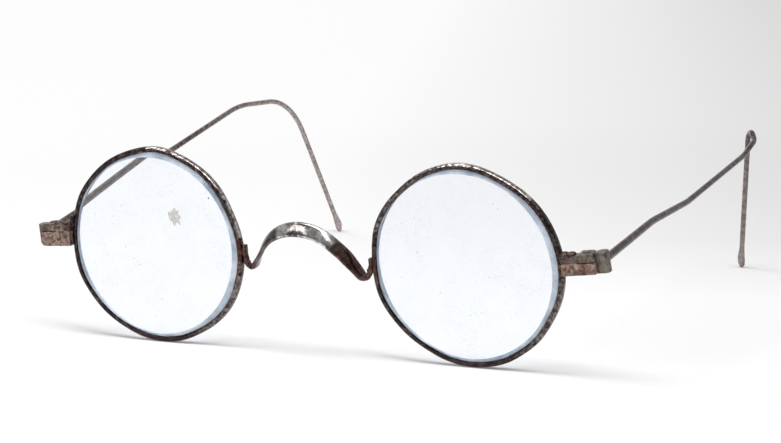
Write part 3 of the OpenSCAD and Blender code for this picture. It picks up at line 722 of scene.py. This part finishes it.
rim_dark = steel("rim_old_steel", base=lin(56, 45, 44), dark=lin(25, 19, 20), rust=lin(84, 54, 42),
                 bright=lin(124, 112, 108), rust_at=0.62, seed=3, metallic=0.9, rough=(0.16, 0.34),
                 pit=0.04, spread=0.18, patches=RIM_PATCHES)
# Painted highlight: bright steel for the outside of the rims where the lamps glint
rim_highlight_mat = steel("rim_painted_highlight_steel", base=lin(150, 142, 138), dark=lin(58, 48, 46), rust=lin(84, 60, 50),
                   bright=lin(210, 205, 202), rust_at=0.66, seed=5, metallic=0.95, rough=(0.1, 0.2),
                   pit=0.015, scale=0.8, spread=0.12)
# Worn steel of the bridge, with painted highlights in its pale patches
bridge_mat = steel("bridge_steel_painted_highlights", base=lin(98, 88, 86), dark=lin(54, 43, 41), rust=lin(92, 56, 46),
                   bright=lin(140, 128, 126), rust_at=0.64, seed=7, metallic=0.9, rough=(0.1, 0.22),
                   pit=0.02, scale=0.7, patches=BRIDGE_PATCHES)
braze_mat = steel("bridge_foot_braze", base=lin(84, 60, 55), dark=lin(52, 34, 31), rust=lin(92, 58, 48),
                  bright=lin(116, 94, 88), rust_at=0.56, seed=9, metallic=0.6, rough=(0.3, 0.5),
                  pit=0.05, spread=0.14)
joint_mat = steel("joint_pitted_steel", base=lin(138, 115, 103), dark=lin(72, 50, 40), rust=lin(112, 72, 52),
                  bright=lin(182, 160, 146), rust_at=0.60, seed=12, metallic=0.4, rough=(0.42, 0.7),
                  pit=0.10, spread=0.13, patches=LOWER_PATCHES)
upper_mat = steel("joint_upper_steel", base=lin(104, 90, 88), dark=lin(54, 42, 40), rust=lin(96, 68, 54),
                  bright=lin(138, 124, 118), rust_at=0.60, seed=15, metallic=0.55, rough=(0.34, 0.6),
                  pit=0.08, spread=0.13, patches=UPPER_PATCHES)
post_mat = steel("post_olive_steel", base=lin(108, 99, 92), dark=lin(66, 56, 51), rust=lin(104, 84, 64),
                 bright=lin(140, 132, 120), rust_at=0.58, seed=27, metallic=0.55, rough=(0.34, 0.6),
                 pit=0.05, scale=0.8, spread=0.16)
screw_mat = steel("screw_brown_steel", base=lin(70, 54, 50), dark=lin(42, 31, 28), rust=lin(84, 54, 42),
                  bright=lin(112, 97, 90), rust_at=0.58, seed=19, metallic=0.6, rough=(0.38, 0.6), pit=0.04)
wire_wear = dict(rust_at=0.62, seed=23, metallic=0.95, rough=(0.14, 0.28), pit=0.015, scale=0.8, spread=0.16)
wire_mats = {
    RIGHT: steel("right_wire_steel", base=lin(100, 90, 88), dark=lin(66, 55, 52), rust=lin(98, 76, 64),
                 bright=lin(146, 138, 137), paler=(0.0, 0.03), **wire_wear),
    LEFT: steel("left_wire_steel", base=lin(82, 72, 70), dark=lin(52, 42, 40), rust=lin(86, 64, 54),
                bright=lin(124, 116, 114), paler=(0.033, 0.05), **wire_wear),
}
glass_mat = glass()
bevel_mat = ground_bevel()
dust_mat = flake("lens_dust", lin(150, 142, 138), 0.8, (0.25, 0.85))
chip_mat = flake("lens_bruise", lin(196, 186, 172), 0.5, (0.3, 0.9))


# Rims

# Where each rim is bent out of round:
# angle up from the wearer's left, outward bulge in millimetres, half-width in degrees
BENDS = {
    RIGHT: [(23, -0.35, 15), (86, 0.4, 13), (152, 0.2, 11), (200, 0.25, 12), (243, -0.2, 14),
            (297, -0.15, 11), (325, 0.15, 13)],
    LEFT: [(62, -0.3, 16), (92, 0.2, 13), (130, -0.25, 12), (160, 0.2, 11), (201, 0.35, 13), (240, -0.2, 13),
           (304, -0.2, 10), (328, -0.35, 15)],
}
RIM_INNER = RIM_R - 1.05
# Between these angles the outside of a rim gets brighter steel, a painted highlight where the lamps glint on
# it
HIGHLIGHT_ARC = {RIGHT: (8, 92), LEFT: (44, 122)}
# The points of the rim's profile that lie on its outside
OUTSIDE = range(8, 18)


def bulge(s, a):
    """Outward bulge of a rim at an angle in degrees, measured up from the wearer's left."""
    return sum(h * math.exp(-(((a - at + 180) % 360 - 180) / w) ** 2) for at, h, w in BENDS[s])


def rim_profile():
    """Half round outside, a softly rounded inner lip and the groove for the lens."""
    half, corner, lip = RIM_DEPTH / 2, 0.55, 0.3
    p = []
    for i in range(9):
        a = rad(-90 + 90 * i / 8)
        p.append((RIM_R - corner + corner * math.cos(a), -half + corner + corner * math.sin(a)))
    for i in range(1, 4):
        p.append((RIM_R, mix(-half + corner, half - corner, i / 4)))
    for i in range(9):
        a = rad(90 * i / 8)
        p.append((RIM_R - corner + corner * math.cos(a), half - corner + corner * math.sin(a)))
    inside = [(RIM_INNER + lip - lip * math.sin(a), half - lip + lip * math.cos(a))
              for a in np.linspace(0, math.pi / 2, 6)]
    inside += [(RIM_INNER + 0.02, GROOVE_W / 2), (RIM_INNER + GROOVE_D, GROOVE_TIP / 2)]
    return np.array(p + inside + [(r, -y) for r, y in inside[::-1]])


def make_rim(s):
    """Rim that runs round from one side of its cut to the other."""
    prof, n = rim_profile(), 720
    m = len(prof)
    cut = math.atan2(JOINT_RISE - RIM_WALL / 2 * math.tan(rad(CANT[s])), RIM_R - RIM_WALL / 2)
    gap = SPLIT / 2 / (RIM_R - RIM_WALL / 2)
    angles = [cut + gap + (2 * math.pi - 2 * gap) * k / (n - 1) for k in range(n)]
    ups = [math.degrees(a) if s == LEFT else 180 - math.degrees(a) for a in angles]
    rings = []
    for a, up in zip(angles, ups):
        r = prof[:, 0] + bulge(s, up)
        q = np.stack([r * math.cos(a) * s, -prof[:, 1], r * math.sin(a)], -1)
        rings.append(rim_to_front(s, q))
    ob = new_object(NAME[s] + "_rim_worn", place(np.concatenate(rings)), loft_faces(n, m), 50)
    recalc(ob)
    wear(ob, pits=0.035, dents=0.03, seed=11 + s, pit_scale=3.4, dent_scale=0.6)
    ob.data.materials.append(rim_dark)
    ob.data.materials.append(rim_highlight_mat)
    # Outside faces between those angles get the painted highlight steel
    low, high = HIGHLIGHT_ARC[s]
    for f in ob.data.polygons:
        up = ups[f.vertices[0] // m] % 360
        if low < up < high and min(v % m for v in f.vertices) in OUTSIDE:
            f.material_index = 1
    return ob


# Lenses: half the depth at the edge of a face, and each face's radius and how far off centre it is ground
FACE_Y = GROOVE_W / 2 - LENS_PLAY + BEVEL_D
FRONT_R, FRONT_SHIFT = RIM_INNER - LENS_PLAY - 0.58, -0.45
BACK_R, BACK_SHIFT = RIM_INNER - LENS_PLAY - 0.25, -0.1
VIEW_CURVE = 400.0


def face_y(x, z, side=-1):
    """How far a face of a lens stands from its middle plane. The photo shows less curve than the CAD has."""
    r, shift = (FRONT_R, FRONT_SHIFT) if side < 0 else (BACK_R, BACK_SHIFT)
    r2 = (x - shift) ** 2 + z * z
    return FACE_Y + math.sqrt(VIEW_CURVE ** 2 - r2) - math.sqrt(VIEW_CURVE ** 2 - r * r)


def lens_rows():
    """Rows of points from the middle of the front face round the edge to the middle of the back face."""
    face = [("face", i / 40) for i in range(1, 41)]
    half = face + [("bevel", i / 5) for i in range(1, 6)] + [("tip", 0)]
    return [(-1, kind, t) for kind, t in half] + [(1, kind, t) for kind, t in half[::-1]]


def lens_point(s, side, kind, t, a):
    """Point of a lens at angle a: on a face, on the ground bevel or on the edge in the groove."""
    c, q = math.cos(a), math.sin(a)
    r, shift = (FRONT_R, FRONT_SHIFT) if side < 0 else (BACK_R, BACK_SHIFT)
    out = RIM_INNER - LENS_PLAY + bulge(s, math.degrees(a))
    if kind == "face":
        x, z = shift + r * t * c, r * t * q
        return (x, side * face_y(x, z, side), z)
    if kind == "bevel":
        y = side * mix(FACE_Y, GROOVE_W / 2 - LENS_PLAY, t)
        return (mix(shift + r * c, out * c, t), y, mix(r * q, out * q, t))
    out += GROOVE_D
    return (out * c, side * (GROOVE_TIP / 2 - LENS_PLAY / 2), out * q)


def make_lens(s):
    """Lens with two convex faces. Its ground bevel is wider on the wearer's left, as in the photo."""
    n, rows = 288, lens_rows()
    verts = [(FRONT_SHIFT, -face_y(FRONT_SHIFT, 0), 0)]
    verts += [lens_point(s, *row, 2 * math.pi * k / n) for row in rows for k in range(n)]
    verts.append((BACK_SHIFT, face_y(BACK_SHIFT, 0, 1), 0))
    faces = [(0, 1 + k, 1 + (k + 1) % n) for k in range(n)]
    rough = []
    for j in range(len(rows) - 1):
        if rows[j][1] != "face" or rows[j + 1][1] != "face":
            rough += range(len(faces), len(faces) + n)
        a, b = 1 + j * n, 1 + (j + 1) * n
        faces += [(a + k, b + k, b + (k + 1) % n, a + (k + 1) % n) for k in range(n)]
    last = 1 + (len(rows) - 1) * n
    faces += [(last + k, len(verts) - 1, last + (k + 1) % n) for k in range(n)]
    ob = new_object(NAME[s] + "_lens_clear", place(rim_to_front(s, np.array(verts))), faces, 8)
    recalc(ob)
    ob.data.materials.append(glass_mat)
    ob.data.materials.append(bevel_mat)
    for i in rough:
        ob.data.polygons[i].material_index = 1
    return ob


def on_lens(x, z, lift):
    """Point just before the front face of a lens, at x and z from its middle, in the rim's own frame."""
    return (x, -face_y(x, z) - lift, z)


# Dust and marks on the lenses. A spot is a column and a row of the photo and a half-width in millimetres
CHIP_AT = (175, 216)
DARK_SPECK = (208.6, 198.3, 0.2)
DUST_AT = {
    RIGHT: [(122, 205, 0.13), (126.7, 246.4, 0.14), (109, 255.4, 0.1), (172, 192, 0.1), (170, 184.7, 0.08),
            (206.4, 215.7, 0.1), (135, 258, 0.12), (138, 261, 0.1), (141, 264, 0.11), (136, 265, 0.07),
            (163, 298.6, 0.12), (215, 255, 0.08), (184.3, 294.3, 0.09), (155.7, 316.4, 0.1),
            (133, 318.6, 0.09), (113.6, 223.6, 0.08), (96, 214, 0.1), (118, 271, 0.07)],
    LEFT: [(415, 218, 0.1), (418, 252, 0.12), (454, 236, 0.09), (493, 204, 0.1), (498, 209, 0.1),
           (490, 277, 0.1), (505, 286, 0.08), (441, 292, 0.1), (471, 315, 0.09), (448, 330, 0.08),
           (520, 265, 0.07), (402, 277, 0.08), (532, 247, 0.08)],
}
SPECKS, DUSTY_R, FINE_DUST = 150, 15.6, [0.025, 0.03, 0.04, 0.055]
# The bruise's outline, and its ridges with their height
CHIP_EDGE = [(0.1, 1.75), (0.55, 1.05), (0.95, 1.35), (0.95, 0.5), (1.5, -0.15), (1.1, -0.6), (1.25, -1.75),
             (0.45, -1.1), (-0.05, -1.95), (-0.6, -1.0), (-0.95, -0.75), (-1.3, 0.35), (-1.35, 0.75),
             (-0.65, 0.8)]
CHIP_RIDGES = [(0.05, 0.9, 0.05), (0.45, 0.35, 0.03), (0.7, -0.3, 0.05), (0.3, -0.8, 0.035),
               (-0.35, -0.6, 0.05), (-0.6, 0.1, 0.03), (-0.3, 0.55, 0.055)]


def photo_spot(s, px, py, half_width):
    return (*lens_spot(s, px, py), half_width)


def lens_dust(s, rng):
    """The photo's specks, and finer dust scattered over the lens."""
    spots = [photo_spot(s, *spot) for spot in DUST_AT[s]]
    while len(spots) < SPECKS:
        x, z = rng.uniform(-16, 16, 2)
        if x * x + z * z < DUSTY_R ** 2:
            spots.append((x, z, rng.choice(FINE_DUST)))
    return spots


def make_specks(s, spots, name, rng):
    """Flat irregular flakes of dust that lie on the lens."""
    corners = 9
    verts, faces = [], []
    for x, z, r in spots:
        base = len(verts)
        verts.append(on_lens(x, z, 0.02 + r * 0.12))
        for i in range(corners):
            a = 2 * math.pi * i / corners
            q = r * rng.uniform(0.55, 1.25)
            verts.append(on_lens(x + q * math.cos(a), z + q * math.sin(a) * 1.1, 0.004))
        faces += [(base, base + 1 + (i + 1) % corners, base + 1 + i) for i in range(corners)]
    return new_object(name, place(rim_to_front(s, np.array(verts))), faces)


def make_chip(s, cx, cz):
    """Shallow star-shaped bruise in the glass: a faceted flake with ridges that meet off its middle."""
    n = len(CHIP_EDGE)
    points = [Vector(p) for p in CHIP_EDGE] + [Vector(p[:2]) for p in CHIP_RIDGES]
    out = delaunay_2d_cdt(points, [(i, (i + 1) % n) for i in range(n)], [], 1, 1e-5)
    lift = [0.004] * n + [p[2] for p in CHIP_RIDGES]
    verts = []
    for v, sources in zip(out[0], out[3]):
        verts.append(on_lens(cx + v.x, cz + v.y, lift[sources[0] if sources else 0]))
    placed = place(rim_to_front(s, np.array(verts)))
    ob = new_object(NAME[s] + "_lens_chip", placed, [tuple(f) for f in out[2]])
    for p in ob.data.polygons:
        p.use_smooth = False
    return ob


# Joint pieces: worn copies of the CAD solids, with what has gathered on them, in the joint's own frame
VOXEL = 0.07
# Each post's foot, head and outer side
POST_SPAN = {RIGHT: (-2.45, 1.25, 0.42), LEFT: (-2.2, 1.5, 0.97)}


def lump(s, centre, radii):
    """Egg of metal or old dirt in a joint's own frame."""
    pts, faces = egg(centre, radii)
    return place(joint_to_front(s, pts)), faces


def upper_braze(s):
    """Brazing metal where the upper half of a joint meets the rim, and dirt on its shoulder."""
    return lump(s, (0.25, 0.0, 1.15), (0.95, 1.1, 0.8)), lump(s, (1.7, 0.0, 0.95), (1.1, 1.2, 0.42))


def slab(s, x0, x1, half_y, half_z):
    """Flat cake of old dirt in the cut between the halves of a joint."""
    plan = ((x0, -half_y), (x1, -half_y), (x1, half_y), (x0, half_y))
    pts = [(x, y, z) for z in (-half_z, half_z) for x, y in plan]
    return place(joint_to_front(s, np.array(pts))), loft_faces(2, len(plan))


def nested_post(s, low, high, out):
    """Squarish post whose hollow side follows the round end of the block, so that it can turn."""
    near = BLOCK_R + 0.09
    plan = [(PIVOT_X + near * math.cos(a), near * math.sin(a)) for a in np.linspace(rad(-24), rad(44), 12)]
    plan += [(POST_X + out - 0.2, POST_BACK + 0.75), (POST_X + out, POST_BACK + 0.3), (POST_X + out, -0.35),
             (POST_X + out - 0.18, -0.72)]
    pts = [(x, y, z) for z in (low, high) for x, y in plan]
    return place(joint_to_front(s, np.array(pts))), loft_faces(2, len(plan))


def worn_copy(node, added, smoothing, pits, dents, seed):
    """Copy of a CAD solid with softened edges and wear, joined with added lumps."""
    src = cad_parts[node]
    me = src.data.copy()
    ob = bpy.data.objects.new(node + "_worn", me)
    bpy.context.scene.collection.objects.link(ob)
    me.transform(src.matrix_world)
    bm = bmesh.new()
    bm.from_mesh(me)
    for pts, faces in added:
        vs = [bm.verts.new(p) for p in pts]
        new = [bm.faces.new([vs[i] for i in f]) for f in faces]
        bmesh.ops.recalc_face_normals(bm, faces=new)
    bm.to_mesh(me)
    bm.free()
    re = ob.modifiers.new("remesh", "REMESH")
    re.mode = "VOXEL"
    re.voxel_size = VOXEL * MM
    sm = ob.modifiers.new("smooth", "SMOOTH")
    sm.factor = 0.5
    sm.iterations = smoothing
    dg = bpy.context.evaluated_depsgraph_get()
    new = bpy.data.meshes.new_from_object(ob.evaluated_get(dg))
    ob.modifiers.clear()
    ob.data = new
    new.materials.clear()
    for p in new.polygons:
        p.use_smooth = True
    wear(ob, pits, dents, seed, pit_scale=3.6, dent_scale=1.1)
    return ob


# Pieces on their bodies
def finish_piece(ob, mat, body, slot, *replaced):
    if mat:
        ob.data.materials.clear()
        ob.data.materials.append(mat)
    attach(ob, body)
    if replaced:
        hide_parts(*replaced)


def joint_pieces(s):
    upper, lower, turning = (NAME[s] + end for end in ("_joint_upper", "_joint_lower", "_temple_joint"))
    ob = worn_copy(upper, upper_braze(s), smoothing=7, pits=0.06, dents=0.05, seed=31 + s)
    finish_piece(ob, upper_mat, "front", "joint_steel", upper)
    ob = worn_copy(lower, [slab(s, 0.2, 3.1, 1.66, 0.12)], smoothing=7, pits=0.08, dents=0.05, seed=41 + s)
    finish_piece(ob, joint_mat, "front", "joint_steel", lower)
    post = nested_post(s, *POST_SPAN[s])
    ob = worn_copy(turning, [post], smoothing=3, pits=0.04, dents=0.02, seed=51 + s)
    finish_piece(ob, post_mat, NAME[s] + "_temple", "joint_steel", turning)


def temple_wire(s):
    rings = wire_rings(s)
    placed = place(np.concatenate(rings))
    ob = new_object(NAME[s] + "_wire_smooth", placed, loft_faces(len(rings), WIRE_POINTS), 60)
    recalc(ob)
    wear(ob, pits=0.012, dents=0.015, seed=61 + s, pit_scale=2.2, dent_scale=0.35)
    finish_piece(ob, wire_mats[s], NAME[s] + "_temple", "temple_steel", NAME[s] + "_temple_wire")


def bridge_piece():
    rings = [bent_down(r) for r in bridge_rings()]
    ob = new_object("bridge_smooth", place(np.concatenate(rings)), loft_faces(len(rings), BRIDGE_POINTS), 60)
    recalc(ob)
    wear(ob, pits=0.02, dents=0.03, seed=71, pit_scale=2.6, dent_scale=0.45)
    finish_piece(ob, bridge_mat, "front", "bridge_steel", "bridge")


# Height of the middle and half the height of the long bead at each foot
BEAD = {RIGHT: (0.02, 1.4), LEFT: (-0.4, 0.95)}


def foot_braze():
    """Small beads of brazing metal where each foot of the bridge runs down the rim."""
    pts, faces = [], []
    for s in (RIGHT, LEFT):
        mid, half = BEAD[s]
        for x, z, radii in ((13.15, mid, (0.56, 0.78, half)), (12.8, -1.95, (0.75, 0.62, 0.5))):
            p, f = egg((s * x, 0.0, z), radii)
            faces += [tuple(i + len(pts) for i in q) for q in f]
            pts += list(p)
    ob = new_object("bridge_foot_braze", place(np.array(pts)), faces)
    recalc(ob)
    wear(ob, pits=0.04, dents=0.08, seed=77, pit_scale=3.0, dent_scale=1.0)
    finish_piece(ob, braze_mat, "front", "bridge_steel")


def screws_and_pins():
    for node in ("closing_screws", "hinge_pins"):
        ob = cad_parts[node]
        ob.data.materials.clear()
        ob.data.materials.append(screw_mat)


def marks_on_lenses():
    rng = np.random.default_rng(5)
    for s in (RIGHT, LEFT):
        ob = make_specks(s, lens_dust(s, rng), NAME[s] + "_lens_specks", rng)
        finish_piece(ob, dust_mat, "front", "lens_glass")
    ob = make_specks(RIGHT, [photo_spot(RIGHT, *DARK_SPECK)], "right_lens_big_speck", rng)
    finish_piece(ob, flake("lens_dark_speck", lin(60, 52, 48)), "front", "lens_glass")
    finish_piece(make_chip(RIGHT, *lens_spot(RIGHT, *CHIP_AT)), chip_mat, "front", "lens_glass")


# Studio
AMBIENT = 0.28
PAPER_WHITE = (0.985, 0.985, 0.985)
LIT_AT = Vector((0, -0.03, 0.015))


def floor_mesh():
    """Sheet of paper that lies flat and curves up behind the object."""
    curve = [(1.0 + 0.5 * math.sin(a), 0.5 - 0.5 * math.cos(a)) for a in np.linspace(0, math.pi / 2, 16)]
    prof = [(-1.6, 0.0)] + curve + [(1.5, 1.8)]
    verts = [(x, y, z) for y, z in prof for x in (-2.4, 2.4)]
    faces = [(2 * i, 2 * i + 1, 2 * i + 3, 2 * i + 2) for i in range(len(prof) - 1)]
    return new_object("studio_sweep", np.array(verts), faces)


def seen_rays(nt):
    """1 for the rays that show a surface to the camera, straight or through metal and glass."""
    path = nt.nodes.new("ShaderNodeLightPath")
    straight = maths(nt, "MAXIMUM", path.outputs["Is Camera Ray"], path.outputs["Is Transmission Ray"])
    return maths(nt, "MAXIMUM", straight, path.outputs["Is Glossy Ray"])


def paper_painted_light(nt, x, y):
    """White paper with painted light on it: painted shade greys it towards the right and the back, and
    painted light makes a soft step to whiter paper in front of the object.
    """
    aside = maths(nt, "ADD", x, maths(nt, "MULTIPLY", y, 0.4))
    side = ramp(nt, maths(nt, "ADD", maths(nt, "MULTIPLY", aside, 2.5), 0.5, True),
                [(0.1, grey(0.99)), (0.38, grey(0.98)), (0.5, grey(0.91)), (0.62, grey(0.84)),
                 (0.76, grey(0.74)), (1.0, grey(0.62))])
    step = maths(nt, "SUBTRACT", y, maths(nt, "MULTIPLY", x, 0.28))
    near = ramp(nt, maths(nt, "ADD", maths(nt, "MULTIPLY", step, 4.0), 0.3, True),
                [(0.30, grey(1)), (0.56, grey(0.15)), (0.9, grey(0))])
    pale = mixc(nt, 0.25, side, PAPER_WHITE)
    return mixc(nt, near, side, mixc(nt, 0.7, pale, PAPER_WHITE))


def paper():
    """Paper that is lit near the object, where the shadow lies, and shows its painted tone further away. Its
    colour carries the same painted shade and light.
    """
    m, nt, bsdf, out = nodes_of("studio_paper")
    x, y, _ = axes_of(nt, coords_of(nt))
    tone = paper_painted_light(nt, x, y)
    nt.links.new(mixc(nt, 1.0, tone, (0.93, 0.93, 0.935), "MULTIPLY"), bsdf.inputs["Base Color"])
    bsdf.inputs["Roughness"].default_value = 0.9
    bsdf.inputs["Specular IOR Level"].default_value = 0.1
    em = nt.nodes.new("ShaderNodeEmission")
    nt.links.new(tone, em.inputs["Color"])
    far = maths(nt, "SQRT", maths(nt, "ADD", maths(nt, "MULTIPLY", x, x), maths(nt, "MULTIPLY", y, y)))
    share = ramp(nt, maths(nt, "MULTIPLY", far, 2.0, True), [(0.17, grey(0.12)), (0.5, grey(0.97))])
    mix_shaders(nt, maths(nt, "MULTIPLY", seen_rays(nt), share), bsdf.outputs[0], em.outputs[0], out)
    return m


def room():
    """Pale room, darker on the camera's side, for the steel to mirror, and a low even light for the rest."""
    world = bpy.data.worlds.new("studio")
    bpy.context.scene.world = world
    world.use_nodes = True
    nt = world.node_tree
    bg = nt.nodes["Background"]
    _, y, z = axes_of(nt, coords_of(nt, "Generated"))
    raised = maths(nt, "ADD", maths(nt, "MULTIPLY", z, 0.15), 0.45)
    way = maths(nt, "ADD", maths(nt, "MULTIPLY", y, 0.4), raised, True)
    shown = ramp(nt, way, [(0.1, grey(0.16)), (0.45, grey(0.42)), (0.8, grey(0.9))])
    nt.links.new(mixc(nt, seen_rays(nt), grey(AMBIENT), shown), bg.inputs["Color"])
    bg.inputs["Strength"].default_value = 1.0


def softbox(name, towards, distance, size, size_y, level):
    """Rectangular lamp; level is the light it throws on a surface that faces it, as a share of white."""
    light = bpy.data.lights.new(name, "AREA")
    light.shape = "RECTANGLE"
    light.size, light.size_y = size, size_y
    light.energy = level * math.pi * (size * size_y + math.pi * distance ** 2)
    ob = bpy.data.objects.new(name, light)
    d = Vector(towards).normalized()
    ob.location = LIT_AT + d * distance
    ob.rotation_euler = (-d).to_track_quat("-Z", "Y").to_euler()
    bpy.context.scene.collection.objects.link(ob)


for s in (RIGHT, LEFT):
    finish_piece(make_rim(s), None, "front", "rim_steel", NAME[s] + "_rim")
    finish_piece(make_lens(s), None, "front", "lens_glass", NAME[s] + "_lens")
    joint_pieces(s)
    temple_wire(s)
bridge_piece()
foot_braze()
screws_and_pins()
marks_on_lenses()

floor = floor_mesh()
floor.data.materials.append(paper())
room()
softbox("top_strip", (-0.04, -0.24, 1.0), 1.25, 1.7, 0.42, 0.84)
softbox("front_key", (-0.445, -0.737, 0.506), 0.9, 0.42, 0.3, 0.2)
softbox("right_key", (0.5, -0.4, 0.74), 0.9, 0.2, 0.2, 0.10)
make_camera()
bpy.context.scene.view_settings.view_transform = "Standard"
